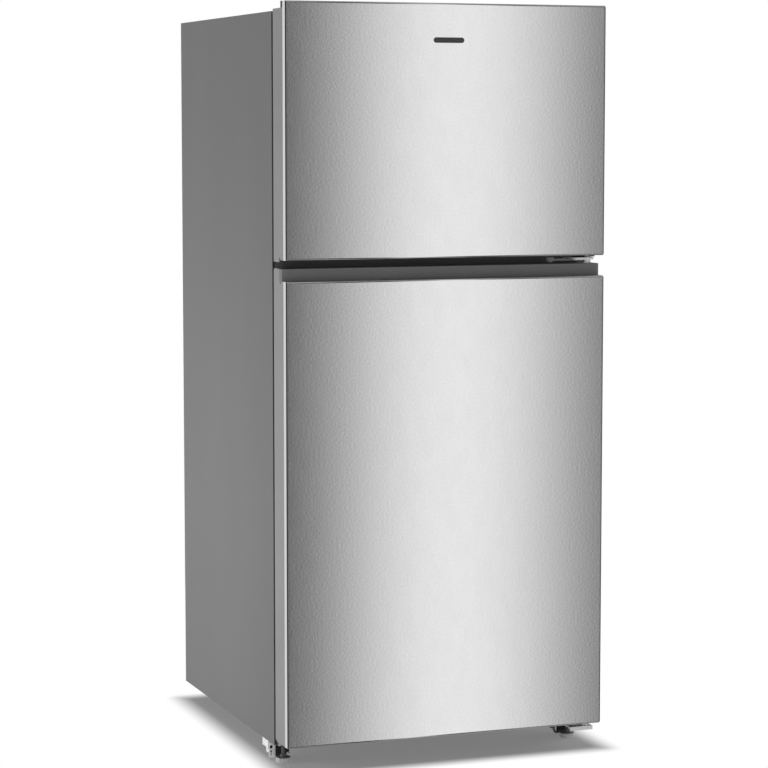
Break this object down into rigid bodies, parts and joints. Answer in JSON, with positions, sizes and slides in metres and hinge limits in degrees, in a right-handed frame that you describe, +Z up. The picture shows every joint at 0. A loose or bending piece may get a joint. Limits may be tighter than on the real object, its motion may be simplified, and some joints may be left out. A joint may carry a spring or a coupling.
{
  "type": "top freezer refrigerator",
  "caption": "Free-standing refrigerator with a freezer compartment above the fresh-food compartment, brushed steel doors with hidden edge grips and painted cabinet sides.",
  "frame": {"origin": "floor level, under the middle of the whole object's box", "axes": "+X to the right seen from the front, +Y towards the back, +Z up"},
  "size_m": [0.756, 0.8296, 1.696],
  "materials": {
    "painted_side": "satin",
    "stainless_front": "satin",
    "galvanised": "satin",
    "zinc_screws": "satin",
    "insulation_foam": "matte",
    "white_liner": "gloss",
    "door_trim": "satin",
    "dark_cap": "matte",
    "grip_cap": "satin",
    "hinge_cover": "satin",
    "seal": "matte",
    "badge_metal": "polished",
    "clear_plastic": "gloss",
    "shelf_plastic": "satin",
    "shelf_pane": "gloss",
    "coated_wire": "gloss",
    "finned_aluminium": "satin",
    "black_paint": "satin",
    "black_plastic": "matte",
    "cover_steel": "matte",
    "dial_plastic": "satin",
    "roller_plastic": "matte",
    "leg_metal": "satin"
  },
  "bodies": {
    "cabinet": {"side_panel_left": "painted_side", "side_panel_right": "painted_side", "top_panel": "painted_side", "back_panel": "galvanised", "cabinet_foam": "insulation_foam", "freezer_liner": "white_liner", "fridge_liner": "white_liner", "mullion_rail": "painted_side", "bottom_deck": "galvanised", "front_brackets": "galvanised", "rear_base_plate": "galvanised", "top_hinge": "galvanised", "top_hinge_cover": "hinge_cover", "middle_hinge": "galvanised", "bottom_hinge": "galvanised", "hinge_screws": "zinc_screws", "evaporator_cover": "white_liner", "evaporator_coil": "finned_aluminium", "evaporator_fan_motor": "black_plastic", "control_housing": "white_liner", "light_lens": "clear_plastic", "shelf_frames": "shelf_plastic", "shelf_glass": "shelf_pane", "crisper_cover": "shelf_plastic", "freezer_shelf": "coated_wire", "compressor": "black_paint", "condenser_coil": "black_paint", "condenser_fan_motor": "black_plastic", "drain_pan": "black_plastic", "machine_cover": "cover_steel", "cord_gland": "black_plastic"},
    "freezer_door": {"freezer_door_skin": "stainless_front", "freezer_door_side_trims": "door_trim", "freezer_door_foam": "insulation_foam", "freezer_door_liner": "white_liner", "freezer_door_top_cap": "dark_cap", "freezer_door_bottom_cap": "dark_cap", "freezer_door_gasket": "seal", "freezer_door_bins": "clear_plastic", "badge": "badge_metal"},
    "fridge_door": {"fridge_door_skin": "stainless_front", "fridge_door_side_trims": "door_trim", "fridge_door_foam": "insulation_foam", "fridge_door_liner": "white_liner", "fridge_door_top_cap": "grip_cap", "fridge_door_bottom_cap": "dark_cap", "fridge_door_gasket": "seal", "fridge_door_bins": "clear_plastic"},
    "dairy_cover": {"dairy_cover": "clear_plastic"},
    "crisper_left": {"crisper_left": "clear_plastic"},
    "crisper_right": {"crisper_right": "clear_plastic"},
    "temperature_dial": {"temperature_dial": "dial_plastic"},
    "evaporator_fan_blade": {"evaporator_fan_blade": "black_plastic"},
    "condenser_fan_blade": {"condenser_fan_blade": "black_plastic"},
    "rear_roller_left": {"rear_roller_left": "roller_plastic"},
    "rear_roller_right": {"rear_roller_right": "roller_plastic"},
    "front_roller_left": {"front_roller_left": "roller_plastic"},
    "front_roller_right": {"front_roller_right": "roller_plastic"},
    "leveling_leg_left": {"leveling_leg_left": "leg_metal"},
    "leveling_leg_right": {"leveling_leg_right": "leg_metal"}
  },
  "joints": [
    {"name": "door_freezer", "type": "hinge", "parent": "cabinet", "child": "freezer_door", "pos_m": [0.356, -0.37, 1.4], "axis": [0, 0, 1], "range_deg": [0, 120]},
    {"name": "door_fridge", "type": "hinge", "parent": "cabinet", "child": "fridge_door", "pos_m": [0.356, -0.37, 0.6], "axis": [0, 0, 1], "range_deg": [0, 120]},
    {"name": "lid_dairy", "type": "hinge", "parent": "fridge_door", "child": "dairy_cover", "pos_m": [-0.16, -0.2295, 1.038], "axis": [1, 0, 0], "range_deg": [0, 80]},
    {"name": "slide_crisper_left", "type": "slide", "parent": "cabinet", "child": "crisper_left", "axis": [0, -1, 0], "range_m": [0, 0.085]},
    {"name": "slide_crisper_right", "type": "slide", "parent": "cabinet", "child": "crisper_right", "axis": [0, -1, 0], "range_m": [0, 0.085]},
    {"name": "dial_temperature", "type": "hinge", "parent": "cabinet", "child": "temperature_dial", "pos_m": [-0.075, -0.125, 1.066], "axis": [0, -1, 0], "range_deg": [-135, 135]},
    {"name": "fan_evaporator", "type": "hinge", "parent": "cabinet", "child": "evaporator_fan_blade", "pos_m": [0, 0.306, 1.52], "axis": [0, 1, 0], "continuous": true},
    {"name": "fan_condenser", "type": "hinge", "parent": "cabinet", "child": "condenser_fan_blade", "pos_m": [0.02, 0.326, 0.178], "axis": [1, 0, 0], "continuous": true},
    {"name": "roller_rear_left", "type": "hinge", "parent": "cabinet", "child": "rear_roller_left", "pos_m": [-0.33, 0.36, 0.022], "axis": [1, 0, 0], "continuous": true},
    {"name": "roller_rear_right", "type": "hinge", "parent": "cabinet", "child": "rear_roller_right", "pos_m": [0.33, 0.36, 0.022], "axis": [1, 0, 0], "continuous": true},
    {"name": "roller_front_left", "type": "hinge", "parent": "cabinet", "child": "front_roller_left", "pos_m": [-0.35, -0.255, 0.019], "axis": [1, 0, 0], "continuous": true},
    {"name": "roller_front_right", "type": "hinge", "parent": "cabinet", "child": "front_roller_right", "pos_m": [0.35, -0.255, 0.019], "axis": [1, 0, 0], "continuous": true},
    {"name": "leg_left", "type": "hinge", "parent": "cabinet", "child": "leveling_leg_left", "pos_m": [-0.3494, -0.291, 0.006], "axis": [0, 0, 1], "continuous": true},
    {"name": "leg_right", "type": "hinge", "parent": "cabinet", "child": "leveling_leg_right", "pos_m": [0.3494, -0.291, 0.006], "axis": [0, 0, 1], "continuous": true}
  ]
}
